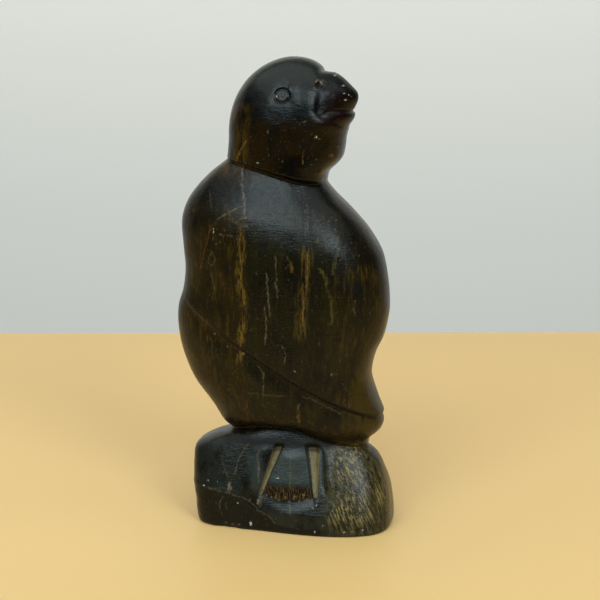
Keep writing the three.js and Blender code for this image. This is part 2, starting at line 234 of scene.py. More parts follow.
# The surface's grid: columns are directions round the axis, closest together on the front.
FRONT_COLUMNS, BACK_COLUMNS = 210, 84
turns = np.radians(np.concatenate([
    np.linspace(-168, 24, FRONT_COLUMNS, endpoint=False),
    np.linspace(24, 192, BACK_COLUMNS, endpoint=False),
]))
C, S = np.cos(turns)[None, :], np.sin(turns)[None, :]


def column(values):
    return np.asarray(values, float)[:, None]


def grid():
    """All rows from the foot to the crown, as points before the fine relief."""
    parts = []
    above_edge = np.linspace(PLINTH_EDGE, PLINTH_HEIGHT, ROWS_PLINTH)[1:]
    z = np.concatenate([np.linspace(0, PLINTH_EDGE, 4), above_edge])
    parts.append((*plinth_surface(C, S, column(z / PLINTH_HEIGHT)), 0))
    x, edge = wing_edge(C, S)
    low = waist_rise(C, S)
    high = jaw_height(C, S) - JAW_UNDERCUT
    under, over = (edge - wing_tall(x) - low) / (high - low), (edge - low) / (high - low)
    steps = column(np.arange(1, ROWS_UNDER_WING + 1) / ROWS_UNDER_WING)
    parts.append((*body_surface(C, S, under * steps**1.1), 0))
    steps = column(np.arange(1, ROWS_STEP + 1) / ROWS_STEP)
    parts.append((*body_surface(C, S, lerp(under, over, steps)), 0))
    steps = column(np.arange(1, ROWS_OVER_WING + 1) / ROWS_OVER_WING)
    parts.append((*body_surface(C, S, lerp(over, 1, steps)), 0))
    axis = HEAD_X * UNIT
    jaw = jaw_height(C, S)
    first = body_surface(C, S, np.ones((1, 1)))
    last = head_surface(C, S, jaw)
    for share in (0.3, 0.7):
        x0, x1 = first[0] * C, axis + last[0] * C
        mixed = lerp(x0, x1, share)
        parts.append(((mixed, lerp(first[0] * S, last[0] * S, share)), lerp(first[1], last[1], share), None))
    steps = column(np.arange(ROWS_JAW) / ROWS_JAW)
    parts.append((*head_surface(C, S, lerp(jaw, LEVEL, steps)), axis))
    heights = np.concatenate([
        np.linspace(LEVEL, EYE_ROWS_FROM, ROWS_FACE, endpoint=False),
        np.linspace(EYE_ROWS_FROM, DOME_ROWS_FROM, ROWS_EYE, endpoint=False),
        CROWN - (CROWN - DOME_ROWS_FROM) * (1 - np.linspace(0, 0.985, ROWS_DOME)) ** 1.7,
    ])
    parts.append((*head_surface(C, S, column(heights)), axis))
    rows = []
    for reach, z, axis_x in parts:
        if axis_x is None:
            rows.append(np.stack(np.broadcast_arrays(reach[0], reach[1], z), -1))
        else:
            rows.append(np.stack(np.broadcast_arrays(axis_x + reach * C, reach * S, z), -1))
    return np.concatenate(rows)


def normals_of(points):
    """Outward normals of a grid that closes on itself sideways."""
    across = np.roll(points, -1, 1) - np.roll(points, 1, 1)
    upward = np.gradient(points, axis=0)
    normals = np.cross(across, upward)
    return normals / np.maximum(np.linalg.norm(normals, axis=-1, keepdims=True), 1e-9)


# Feet in relief on the plinth's sloping front.
FOOT_TOP, FOOT_LONG = 36.4, 21.2
TOES = (-4.6, -2.4, 1.0, 5.1, 9.3, 12.6)
# The foot's sides at its top, how far each moves out per millimetre down, and the cuts' widths, top and end.
FOOT_LEFT, FOOT_LEFT_SPREAD, FOOT_RIGHT, FOOT_RIGHT_SPREAD = 0.6, 0.37, 11.6, 0.18
CUT_LEFT, CUT_RIGHT = (3.3, 1.3), (5.2, 2.0)
EYE_X, EYE_Z = 1.3, 184.8
facet_line = through([
    (-36, 17.6), (-30, 17), (-23, 16.4), (-16, 14.4), (-8, 9.5), (10, 9), (22, 8.3), (34, 5.2),
])


def foot_relief(x, z):
    down = FOOT_TOP - z
    low = np.clip(down / FOOT_LONG, 0, 1)
    left = FOOT_LEFT - FOOT_LEFT_SPREAD * down
    right = FOOT_RIGHT + FOOT_RIGHT_SPREAD * down
    end = FOOT_TOP - FOOT_LONG
    depth = lerp(2.0, 1.3, low)
    tall = (1 - ease(z, FOOT_TOP - 0.2, FOOT_TOP + 1.2)) * ease(z, end - 0.6, end + 2)
    relief = 0
    beside_left = 1 + (x - left) / lerp(*CUT_LEFT, low)
    beside_right = 1 - (x - right) / lerp(*CUT_RIGHT, low)
    for across in (beside_left, beside_right):
        relief = relief - depth * tall * np.clip(np.minimum(across / 0.3, (1 - across) * 4 + 1), 0, 1)
    past = end + 0.022 * (x - 5) ** 2 - z
    within = ease(x, left - 1, left) * (1 - ease(x, right, right + 1))
    relief = relief - 0.75 * within * ease(past, -0.2, 0.8) * (1 - ease(past, 0.8, 6))
    middle, half = (left + right) / 2, (right - left) / 2
    bulge = np.maximum(1 - ((x - middle) / half) ** 2, 0)
    relief = relief + 0.7 * bulge * ease(z, end + 2, end + 7) * (1 - ease(z, 31, 36))
    for i, place in enumerate(TOES):
        at = place + 0.05 * (place - 5) * (20 - z) / 6
        long = ease(20.6 + 0.5 * (i % 2) - z, 0, 2.2) * (1 - ease(past, 0.2, 1.2))
        relief = relief - 0.95 * hump(x - at, 0.55) * long
    relief = relief - 0.8 * hump(np.hypot((x - 13.6) / 2.3, (z - 36.2) / 1.4), 0.9)
    drag = x - 17.1 - 0.145 * down
    long = ease(z, end + 2, end + 6) * (1 - ease(z, FOOT_TOP - 2, FOOT_TOP + 1))
    crest = 0.45 * hump(drag - 2.2, 1.5) + 0.6 * hump(x + 9.2 - 0.25 * (z - 26), 2.8)
    return relief - 0.5 * hump(drag, 1.1) * long + crest * long


def groove(across, half_width, depth):
    return -depth * hump(across, half_width)


def eye_relief(x, z):
    dx, dz = x - EYE_X, z - EYE_Z
    r, turn = np.hypot(dx / 1.05, dz / 0.95), np.arctan2(dz, dx)
    relief = groove(r - 2.9, 0.42, 0.62) + 0.22 * hump(r, 1.9)
    spiral = np.abs((r - 0.55 - 0.16 * (turn + np.pi)) % 1.0 - 0.5)
    return relief - 0.22 * hump(spiral - 0.5, 0.22) * (1 - ease(r, 1.4, 1.8))


def mouth_relief(x, z):
    mouth = 179.0 - 2.6 * (np.minimum(x - 22.6, 0) / 6.0) ** 2 - 0.25 * np.maximum(x - 25, 0)
    return groove(z - mouth, 0.4, 0.3) * ease(x, 16.4, 19)


def nostril_relief(x, z):
    r = np.hypot((x - 16.2) / 1.2, z - 189.4)
    return groove(r, 1.1, 0.9) + 0.15 * hump(r - 1.9, 0.45)


def fine_relief(points):
    """What is cut into or left standing on the smooth form, along its normal."""
    x, y, z = points[..., 0], points[..., 1], points[..., 2]
    front = ease(-y, 0, 3)
    head = ease(z, 150, 160)
    relief = foot_relief(x, z) * front * (1 - ease(z, 38, 39))
    relief = relief + (eye_relief(x, z) + mouth_relief(x, z)) * head
    relief = relief + nostril_relief(x, z) * head * ease(np.abs(y), 2, 4)
    crack = through([(120, 13.8), (126.5, 13), (136.6, 12.2), (140.5, 11.6), (143.2, 10.1), (147, 9)])(z)
    relief = relief + groove(x - crack, 0.45, 0.16) * front * ease(z, 121, 129) * (1 - ease(z, 146, 149))
    crest = z - facet_line(x)
    relief = relief + 0.4 * np.exp(-np.abs(crest) / 1.6) * front * (1 - ease(x, 8, 34)) * (z < 30)
    for at, size, depth in CHIPS:
        relief = relief - depth * hump(np.linalg.norm(points - at, axis=-1), size)
    lumps = 0.2 * noise(points, 17.0, 3) + 0.09 * noise(points, 6.0, 4) + 0.035 * noise(points, 2.3, 5)
    return relief + lumps * ease(z, 0.5, 3)


# Chips: centre, width and depth in millimetres.
CHIPS = (
    (np.array((-24.0, -21.5, 1.0)), 2.6, 0.8),
    (np.array((-19.5, -21.8, 0.6)), 2.0, 0.7),
    (np.array((36.0, -20.0, 2.4)), 1.6, 0.9),
    (np.array((-37.0, -14.0, 10.0)), 2.2, 0.5),
    (np.array((-38.0, 6.0, 22.0)), 2.8, 0.5),
    (np.array((43.0, 9.0, 12.0)), 2.4, 0.5),
)

points = grid()
points = points + normals_of(points) * fine_relief(points)[..., None]
shift = np.array([CENTRING, 0.0, 0.0])
rows, columns = points.shape[:2]
points[..., 2] = np.maximum(points[..., 2], 0)
top = np.array([[[HEAD_X * UNIT, 0, PLINTH_HEIGHT + CROWN * UNIT]]])
vertices = np.concatenate([points.reshape(-1, 3), [[0, 0, 0]], top.reshape(-1, 3)]) + shift
first, last = rows * columns, rows * columns + 1
faces = []
ring = np.arange(columns)
after = (ring + 1) % columns
for row in range(rows - 1):
    a = row * columns
    faces.extend(np.stack([a + ring, a + after, a + columns + after, a + columns + ring], 1).tolist())
faces.extend(np.stack([after, ring, np.full(columns, first)], 1).tolist())
a = (rows - 1) * columns
faces.extend(np.stack([a + ring, a + after, np.full(columns, last)], 1).tolist())
mesh = bpy.data.meshes.new("soapstone_bird")
mesh.from_pydata((vertices / MM).tolist(), [], faces)
mesh.polygons.foreach_set("use_smooth", np.ones(len(faces), bool))
mesh.update()
bird = bpy.data.objects.new("soapstone_bird", mesh)
bpy.context.scene.collection.objects.link(bird)


class Value:
    """A shader value that adds, subtracts and multiplies as a number does."""

    tree = None

    def __init__(self, socket):
        self.socket = socket

    def __add__(self, other):
        return calc("ADD", self, other)

    def __sub__(self, other):
        return calc("SUBTRACT", self, other)

    def __mul__(self, other):
        return calc("MULTIPLY", self, other)


def plug(socket, value):
    if isinstance(value, Value):
        Value.tree.links.new(value.socket, socket)
    else:
        socket.default_value = value


def calc(operation, *values):
    node = Value.tree.nodes.new("ShaderNodeMath")
    node.operation = operation
    for socket, value in zip(node.inputs, values):
        plug(socket, value)
    return Value(node.outputs[0])


def greatest(values):
    total = values[0]
    for value in values[1:]:
        total = calc("MAXIMUM", total, value)
    return total


def map_range(value, start, end, kind):
    node = Value.tree.nodes.new("ShaderNodeMapRange")
    node.interpolation_type = kind
    plug(node.inputs["Value"], value)
    rising = end > start
    node.inputs["From Min"].default_value = min(start, end)
    node.inputs["From Max"].default_value = max(start, end)
    node.inputs["To Min"].default_value = 0 if rising else 1
    node.inputs["To Max"].default_value = 1 if rising else 0
    return Value(node.outputs["Result"])


def fade(value, start, end):
    """0 up to start and 1 from end on, or the other way round if end is below start."""
    return map_range(value, start, end, "SMOOTHSTEP")


def between(value, start, end, soft):
    return fade(value, start - soft, start) * fade(value, end + soft, end)


def blend(share, a, b):
    node = Value.tree.nodes.new("ShaderNodeMix")
    node.data_type = "RGBA"
    plug(node.inputs["Factor"], share)
    for name, colour in (("A", a), ("B", b)):
        socket = [i for i in node.inputs if i.name == name and i.type == "RGBA"][0]
        plug(socket, colour if isinstance(colour, Value) else (*colour, 1))
    return Value([o for o in node.outputs if o.type == "RGBA"][0])


def cloud(where, size, detail=3.0, roughness=0.55, stretch=(1, 1, 1), warp=0.0, lean=0.0):
    """Noise from 0 to 1 with lumps about that size, in millimetres."""
    mapping = Value.tree.nodes.new("ShaderNodeMapping")
    plug(mapping.inputs["Vector"], where)
    mapping.vector_type = "TEXTURE"
    mapping.inputs["Rotation"].default_value = (0, lean, 0)
    mapping.inputs["Scale"].default_value = [size * k / MM for k in stretch]
    node = Value.tree.nodes.new("ShaderNodeTexNoise")
    plug(node.inputs["Vector"], Value(mapping.outputs[0]))
    node.inputs["Scale"].default_value = 1
    node.inputs["Detail"].default_value = detail
    node.inputs["Roughness"].default_value = roughness
    node.inputs["Distortion"].default_value = warp
    return Value(node.outputs["Fac"])


def place_vector(x, z):
    node = Value.tree.nodes.new("ShaderNodeCombineXYZ")
    plug(node.inputs["X"], x)
    plug(node.inputs["Z"], z)
    return Value(node.outputs[0])


def distance(vector, x, z):
    node = Value.tree.nodes.new("ShaderNodeVectorMath")
    node.operation = "DISTANCE"
    plug(node.inputs[0], vector)
    node.inputs[1].default_value = (x, 0, z)
    return Value(node.outputs["Value"])


def spot(vector, x, z, size, soft):
    return fade(distance(vector, x, z), size + soft, size)


def line_through(share, knots):
    """The height of the curve through the knots, at a share of its length."""
    node = Value.tree.nodes.new("ShaderNodeFloatCurve")
    plug(node.inputs["Value"], share)
    points = node.mapping.curves[0].points
    low = min(k[1] for k in knots) - 1
    span = max(k[1] for k in knots) + 1 - low
    for place, level in knots[1:-1]:
        points.new((place - knots[0][0]) / (knots[-1][0] - knots[0][0]), (level - low) / span)
    points[0].location = (0, (knots[0][1] - low) / span)
    points[len(points) - 1].location = (1, (knots[-1][1] - low) / span)
    node.mapping.update()
    return calc("MULTIPLY_ADD", Value(node.outputs[0]), span, low)


def vein(along, across, knots, half_width, soft, ends=0.05):
    """A line through knots (along, across), thinned out at both its ends."""
    share = map_range(along, knots[0][0], knots[-1][0], "LINEAR")
    off = calc("ABSOLUTE", across - line_through(share, knots))
    return fade(off, half_width + soft, half_width) * fade(share - share * share, 0, ends)


# Marks on the side with the feet. Places are (x, z) in millimetres, and shares say how strong a mark is.
PINK, PALE, WHITE = (0.13, 0.095, 0.070), (0.082, 0.066, 0.036), (0.40, 0.37, 0.30)
AMBER, RUST, GREEN = (0.13, 0.070, 0.014), (0.075, 0.028, 0.008), (0.050, 0.044, 0.008)
TAN, DARK = (0.30, 0.18, 0.080), (0.0012, 0.0010, 0.0008)
# Upright veins: colour, share, half width, then (z, x) from low to high.
UPRIGHT = (
    (PINK, 0.75, 0.4, ((136.2, -13.2), (144.4, -14.5), (150.2, -15.8), (157.2, -16.1))),
    (PALE, 0.4, 0.25, ((138.2, -28.3), (146.3, -30.1))),
    (DARK, 0.9, 0.5, (
        (122.0, 13.6), (126.5, 13.0), (136.6, 12.2), (140.5, 11.6), (143.2, 10.1), (148.0, 8.8),
    )),
    (RUST, 0.8, 0.35, ((112.5, -33.2), (122.6, -30.4), (129.8, -28.1), (133.1, -26.9))),
    (PALE, 0.55, 0.25, ((114.4, -28.5), (118.4, -26.1), (121.5, -28.4))),
    (PALE, 0.45, 0.25, ((115.1, -25.6), (117.3, -29.0), (120.9, -26.5))),
    (PALE, 0.45, 0.3, ((99.7, -27.7), (106.6, -26.7), (112.3, -28.1))),
    (PALE, 0.35, 0.3, ((73.7, -27.7), (85.4, -28.0))),
    (PALE, 0.75, 0.3, ((103.0, 1.5), (115.0, 0.7), (121.1, 0.2))),
    (PALE, 0.8, 0.3, ((95.4, -1.5), (106.6, -2.7), (114.5, -3.1))),
    (PALE, 0.8, 0.3, ((82.5, -4.1), (89.3, -3.6), (100.3, -4.0))),
    (PALE, 0.6, 0.3, ((62.8, -5.4), (69.3, -5.3), (74.2, -7.9))),
    (PALE, 0.6, 0.3, ((75.2, 4.3), (81.2, 4.3), (84.0, 1.0))),
    (AMBER, 0.8, 0.35, ((90.4, 11.9), (100.9, 12.3), (108.8, 13.5), (123.4, 13.6))),
    (AMBER, 0.6, 0.7, ((114.4, 7.7), (121.3, 5.5))),
    (GREEN, 0.8, 0.7, ((91.7, 23.3), (103.0, 23.1), (106.3, 22.1), (112.5, 20.6), (117.0, 17.3))),
    (GREEN, 0.6, 0.8, ((113.3, 23.7), (118.5, 24.3), (124.3, 25.9))),
    (PALE, 0.4, 0.4, ((95.9, 32.4), (102.6, 32.7))),
    (PALE, 0.35, 0.3, ((56.1, -5.2), (72.2, -5.2))),
    (RUST, 0.7, 0.5, ((46.5, -13.2), (58.5, -13.1))),
    (AMBER, 0.5, 0.8, ((49.2, 9.5), (58.2, 9.4))),
    (PALE, 0.45, 0.3, ((21.6, -21.5), (31.0, -26.3))),
    (PALE, 0.5, 0.3, ((23.5, -19.3), (32.0, -17.1), (37.4, -13.6))),
    (PALE, 0.5, 0.3, ((5.6, -24.1), (8.8, -25.6), (14.7, -23.5))),
    (PALE, 0.4, 0.3, ((8.4, -22.3), (11.8, -22.5))),
    (PINK, 0.45, 0.5, ((20.5, -8.5), (35.0, -9.3))),
    (PALE, 0.6, 0.35, ((7.8, 6.1), (23.0, 5.1), (34.7, 4.6))),
    (AMBER, 0.85, 0.6, ((157.2, -19.0), (162.5, -16.6), (166.7, -13.6))),
    (AMBER, 0.5, 0.3, ((157.3, 10.3), (163.3, 10.8))),
    (PALE, 0.8, 0.25, ((169.5, -4.5), (171.6, -3.7))),
)
# Level veins: colour, share, half width, then (x, z) from left to right.
LEVEL_VEINS = (
    (PALE, 0.85, 0.4, ((-25.5, 134.0), (-19.9, 137.5), (-14.4, 140.1))),
    (PALE, 0.5, 0.25, ((-23.8, 128.5), (-17.9, 127.7))),
    (AMBER, 0.8, 0.4, ((-17.7, 132.9), (-14.9, 135.0), (-11.5, 135.9))),
    (PALE, 0.5, 0.3, ((-16.3, 130.5), (-13.3, 132.3), (-10.7, 131.2))),
    (GREEN, 0.6, 0.35, ((-12.5, 61.8), (-5.4, 61.5), (5.2, 61.6))),
    (PALE, 0.35, 0.4, ((10.6, 61.7), (19.5, 57.7), (28.3, 52.1))),
    (TAN, 0.95, 0.5, ((14.3, 190.3), (15.3, 190.9), (16.4, 190.4), (17.3, 189.0))),
    (PALE, 0.55, 0.3, ((-32.2, 17.2), (-22.6, 16.0), (-14.4, 14.2), (-7.2, 9.2), (1.8, 4.0))),
    (PALE, 0.6, 0.3, ((18.8, 18.6), (24.6, 13.7))),
)
# Specks: colour, size, how tall for its width, then (x, z) of each.
SPECKS = (
    (WHITE, 0.75, 2.4, ((-26.7, 129.5), (-11.6, 3.1))),
    (PALE, 0.55, 1.0, (
        (-23.3, 128.5), (-21.6, 130.2), (-21.9, 127.0), (-23.7, 125.6), (-25.1, 124.3), (21.7, 135.9),
        (20.8, 134.4), (23.7, 134.6), (23.8, 131.3), (25.5, 129.3), (30.2, 125.9), (-6.0, 49.5),
        (1.4, 166.9), (-2.4, 167.6), (11.1, 174.6), (10.9, 173.4),
    )),
    (GREEN, 0.9, 2.2, ((17.3, 127.3), (24.9, 127.4), (9.3, 54.7))),
    (PINK, 1.0, 1.0, ((-26.6, 86.0), (-20.7, 81.0), (-13.6, 78.6), (8.4, 72.3), (23.3, 70.9), (20.1, 5.0))),
    (AMBER, 0.8, 0.4, (
        (-19.4, 60.0), (-18.9, 61.5), (-19.2, 63.2), (13.9, 169.4), (16.8, 167.7), (22.9, 163.9),
    )),
    (WHITE, 0.6, 1.0, (
        (-31.3, 19.9), (-26.9, 20.2), (-33.2, 17.5), (-17.5, 11.8), (15.4, 12.5), (16.9, 13.2), (16.7, 2.2),
        (29.3, 2.7), (32.6, 3.0), (36.6, 3.2), (15.4, 168.5), (20.8, 192.8), (25.5, 185.8), (27.0, 184.9),
        (27.9, 184.2), (25.7, 183.0),
    )),
    (WHITE, 1.1, 0.45, ((-0.4, 23.5), (-8.6, 157.6), (24.6, 188.5), (-0.8, 184.4))),
    (PINK, 1.6, 2.6, ((-21.3, 18.3), (-7.9, 13.5))),
    (PINK, 1.2, 0.4, ((-22.9, 2.6), (-19.7, 2.2), (-16.6, 2.1))),
    (AMBER, 1.0, 1.6, ((-2.8, 182.3), (20.8, 160.4), (-0.5, 15.5), (3.5, 15.8), (7.4, 16.1), (11.2, 16.7))),
)
FACET_EDGE = ((-33.0, 17.2), (-22.6, 16.0), (-14.4, 14.2), (-7.2, 9.2), (-2.2, 5.9), (1.8, 4.0), (10.0, 3.6))
WING_LINE = tuple(
    (x, PLINTH_HEIGHT + UNIT * (WING_MIDDLE - WING_FALL * x / UNIT + WING_BEND * (x / UNIT) ** 2))
    for x in np.linspace(-34, 42, 9).tolist()
)
GOLD_PATCHES = (
    (29.0, 33.8), (34.1, 21.1), (39.6, 20.1), (35.5, 11.1), (28.4, 27.8), (31.8, 17.7), (27.8, 9.7),
    (38.4, 15.2),
)

VEIN_THIN, VEIN_SOFT = 0.6, 0.32


def marks(colour, x, z, speck_x, speck_z, broken, front):
    """The stone's colour with its veins and specks, each colour laid on at once."""
    shares = {}
    for tint, share, half_width, knots in UPRIGHT:
        shares.setdefault(tint, []).append(vein(z, x, knots, half_width * VEIN_THIN, VEIN_SOFT) * share)
    for tint, share, half_width, knots in LEVEL_VEINS:
        shares.setdefault(tint, []).append(vein(x, z, knots, half_width * VEIN_THIN, VEIN_SOFT) * share)
    for tint, size, tall, places in SPECKS:
        vector = place_vector(speck_x, speck_z * (1 / tall))
        for place_x, place_z in places:
            shares.setdefault(tint, []).append(spot(vector, place_x, place_z / tall, size * 0.3, size * 0.5))
    for tint, masks in shares.items():
        colour = blend(greatest(masks) * broken * front, colour, tint)
    return colour


def foot_masks(x, z):
    """Where the cuts beside the feet leave bare stone, and the toes."""
    down = z * -1 + FOOT_TOP
    low = map_range(down, 0, FOOT_LONG, "LINEAR")
    left = down * -FOOT_LEFT_SPREAD + FOOT_LEFT
    right = down * FOOT_RIGHT_SPREAD + FOOT_RIGHT
    tall = between(z, FOOT_TOP - FOOT_LONG + 1.5, FOOT_TOP - 1.6, 1.2)
    left_wide, right_wide = [low * (end - start) + start for start, end in (CUT_LEFT, CUT_RIGHT)]
    in_left = fade(x - left + left_wide, -0.3, 0.5) * fade(x - left, 0.2, -0.3)
    in_right = fade(x - right - right_wide, 0.3, -0.5) * fade(x - right, -0.2, 0.3)
    cuts = calc("MAXIMUM", in_left, in_right) * tall
    foot = fade(x - left, -0.2, 0.6) * fade(x - right, 0.2, -0.6)
    return cuts, foot * between(z, FOOT_TOP - FOOT_LONG, FOOT_TOP, 1.0)


def stone_material():
    material = bpy.data.materials.new("soapstone")
    material.use_nodes = True
    tree = material.node_tree
    Value.tree = tree
    shader = tree.nodes["Principled BSDF"]
    where = Value(tree.nodes.new("ShaderNodeTexCoord").outputs["Object"])
    split = tree.nodes.new("ShaderNodeSeparateXYZ")
    plug(split.inputs[0], where)
    x = Value(split.outputs[0]) * MM - CENTRING
    y = Value(split.outputs[1]) * MM
    z = Value(split.outputs[2]) * MM
    front = fade(y, 1.0, -4.0)

    broad = cloud(where, 24.0, 3.0, 0.5, (1, 1, 1.8))
    mottle = cloud(where, 7.0, 5.0, 0.62, (1, 1, 2.0), 0.6)
    fibre = cloud(where, 2.2, 4.0, 0.65, (1, 1, 6))
    thread = cloud(where, 0.9, 3.0, 0.7, (1, 1, 6))
    fine = cloud(where, 1.4, 3.0, 0.65)
    wander = (cloud(where, 8.0, 2.0) - 0.5) * 4.0 + (fine - 0.5) * 1.2
    wander_up = (cloud(where, 7.0, 2.0, 0.5, (1.1, 1, 1)) - 0.5) * 3.0
    wx, wz = x + wander, z + wander_up

    # Olive brown where the polish has worn: on the wing's front, the right flank and the foot of the body.
    body = between(z, 44.0, 136.0, 7.0)
    left_brown = fade(wx, -9.0, -14.0) * body
    right_brown = fade(wx, 10.0, 28.0) * between(z, 44.0, 112.0, 9.0)
    tail = fade(wx, 24.0, 36.0) * between(z, 46.0, 66.0, 8.0)
    low_brown = between(z, 45.0, 60.0, 8.0) * 0.6
    behind = fade(broad, 0.45, 0.62) * body * fade(y, 4.0, 12.0)
    worn = greatest([left_brown, right_brown, low_brown, behind * 0.7, body * 0.35])
    colour = blend(fade(broad, 0.4, 0.62), (0.0016, 0.0021, 0.0016), (0.0034, 0.0034, 0.0014))
    colour = blend(worn * fade(mottle, 0.28, 0.60), colour, (0.0115, 0.0068, 0.0005))
    colour = blend(worn * fade(fibre, 0.50, 0.68) * 0.8, colour, (0.034, 0.0195, 0.0020))
    bright_threads = worn * fade(thread, 0.56, 0.70) * fade(mottle, 0.40, 0.60) * 0.8
    colour = blend(bright_threads, colour, (0.075, 0.045, 0.008))
    colour = blend(tail * fade(mottle, 0.30, 0.56) * 0.7, colour, (0.046, 0.028, 0.0036))
    green = between(wx, -11.0, 24.0, 5.0) * between(z, 60.0, 122.0, 12.0) * fade(mottle, 0.42, 0.62)
    colour = blend(green * 0.45, colour, (0.0085, 0.0090, 0.0013))

    # Head: red brown below the brow and on the beak's side.
    cheek = between(wz, 152.0, 172.0, 6.0) * fade(mottle, 0.30, 0.62)
    colour = blend(cheek * 0.9, colour, (0.0115, 0.0056, 0.0005))
    # Painted shade: the head's underside at the jaw is darkened nearly to black.
    painted_chin_shade = spot(place_vector(wx, wz * 1.6), 10.0, 248.0, 6.0, 8.0)
    colour = blend(painted_chin_shade * 0.9, colour, (0.0016, 0.0010, 0.0005))
    # Painted sheen: the crown's top is made lighter blue-grey, standing in for the ceiling's reflection.
    colour = blend(fade(wz, 184.0, 194.0) * 0.8, colour, (0.0150, 0.0165, 0.0130))
    nape = fade(wx, -10.0, -15.0) * between(wz, 154.0, 178.0, 5.0) * fade(fibre, 0.40, 0.62)
    chin = fade(wx, 16.0, 22.0) * between(wz, 160.0, 171.0, 5.0) * fade(mottle, 0.40, 0.62)
    colour = blend(calc("MAXIMUM", nape * 0.8, chin * 0.15), colour, (0.050, 0.025, 0.0028))
    beak = fade(wx, 15.0, 20.0) * between(wz, 176.0, 184.0, 4.0)
    colour = blend(beak * 0.75, colour, (0.014, 0.0035, 0.0016))
    # Painted shade: the beak's side past the face line is darkened nearly to black.
    colour = blend(fade(x, 15.2, 15.9) * between(z, 176.0, 190.0, 4.0) * 0.5, colour, (0.0012, 0.0010, 0.0008))

    # Breast: a fibrous amber band on the left and a softer brown one right of the middle.
    left_band = (
        (72.1, -15.9), (86.1, -14.5), (93.4, -13.1), (101.9, -13.0), (107.6, -14.5),
        (120.5, -14.3), (134.2, -14.8),
    )
    right_band = ((84.0, 11.4), (90.4, 11.4), (102.9, 11.5), (108.8, 12.7), (119.4, 13.3), (127.3, 12.2))
    strands = fade(thread, 0.42, 0.58) * (fade(fibre, 0.36, 0.56) * 0.7 + 0.3)
    colour = blend(vein(z, wx, left_band, 0.5, 2.2, 0.1) * strands * front, colour, (0.115, 0.065, 0.009))
    colour = blend(vein(z, wx, right_band, 1.0, 2.8, 0.1) * strands * front * 0.8, colour, (0.070, 0.042, 0.007))

    # Plinth: dusty in patches all over, golden fibres on the right, and painted shade below the facet's edge.
    plinth = fade(z, 41.0, 37.0)
    colour = blend(plinth * fade(mottle, 0.28, 0.66) * 0.5, colour, (0.022, 0.024, 0.017))
    gold_area = greatest([spot(place_vector(wx, wz), *place, 1.0, 7.5) for place in GOLD_PATCHES])
    grain = fade(cloud(where, 0.75, 4.0, 0.65, (1, 1, 12), 0.0, math.radians(-23)), 0.47, 0.62)
    rim = plinth * fade(wx, 17.0, 27.0)
    colour = blend(rim * fade(fibre, 0.35, 0.60) * 0.6, colour, (0.050, 0.038, 0.012))
    colour = blend(rim * grain * 0.55, colour, (0.100, 0.074, 0.026))
    colour = blend(gold_area * grain * fade(mottle, 0.34, 0.56) * front * 0.9, colour, (0.25, 0.18, 0.060))
    facet = line_through(map_range(x, FACET_EDGE[0][0], FACET_EDGE[-1][0], "LINEAR"), FACET_EDGE)
    # Painted shade: the plinth's lower facets below the facet's edge are darkened.
    painted_shade_below_facet = plinth * front * fade(z - facet, 0.4, -1.2) * fade(x, 30.0, 14.0)
    colour = blend(painted_shade_below_facet * 0.85, colour, (0.0030, 0.0030, 0.0020))

    # Painted shade under the wing's ledge, in dark red brown; the eye gets paler rings inside and a darkened
    # ring round it.
    edge = line_through(map_range(x, WING_LINE[0][0], WING_LINE[-1][0], "LINEAR"), WING_LINE)
    below = z - edge
    # Painted shade: a dark red-brown band just under the wing's ledge.
    painted_ledge_shade = between(below, -1.9, -0.4, 0.7) * fade(x, -30.0, -22.0)
    colour = blend(painted_ledge_shade * 0.9, colour, (0.0030, 0.0012, 0.0006))
    eye = distance(place_vector(x, z), EYE_X, EYE_Z)
    rings = calc("PINGPONG", eye + (fine - 0.5) * 0.5, 0.72)
    iris = fade(eye, 2.7, 2.2) * fade(rings, 0.20, 0.42)
    colour = blend(iris * front * 0.5, colour, (0.030, 0.026, 0.024))
    ring = between(eye, 2.75, 3.1, 0.3)
    colour = blend(ring * front * 0.8, colour, (0.0012, 0.0011, 0.0010))

    cuts, foot = foot_masks(x, z)
    in_front = front * plinth
    toes = foot * between(wz, 15.0, 19.5, 1.2)
    # Painted highlight: a lighter blue-grey sheen on the foot's top and on the ridges beside the cuts.
    ridges = calc("MAXIMUM", between(x + (z - 26.0) * 0.25, -11.5, -8.5, 3.5), between(x, 16.8, 17.6, 2.2))
    painted_sheen = calc("MAXIMUM", foot * between(z, 24.0, 32.0, 6.0), ridges * between(z, 20.0, 31.0, 7.0) * 0.6)
    colour = blend(painted_sheen * in_front * 0.7, colour, (0.034, 0.043, 0.040))
    shaded = in_front * fade(wz, 34.5, 37.5) * fade(x, 30.0, 20.0) * fade(x, -24.0, -14.0)
    colour = blend(shaded * 0.9, colour, (0.0024, 0.0018, 0.0008))
    slit = cloud(where, 0.6, 2.0, 0.6, (1, 1, 5))
    colour = blend(toes * in_front * 0.8, colour, (0.0050, 0.0030, 0.0012))
    colour = blend(toes * in_front * fade(slit, 0.50, 0.62) * 0.65, colour, (0.090, 0.048, 0.013))
    colour = blend(cuts * in_front * (fade(thread, 0.30, 0.56) * 0.5 + 0.45), colour, (0.165, 0.128, 0.058))
    # Painted shade: the hollows at the top of the cuts are darkened to a reddish dark.
    colour = blend(cuts * in_front * fade(z, 32.8, 34.6) * 0.8, colour, (0.022, 0.0085, 0.0040))

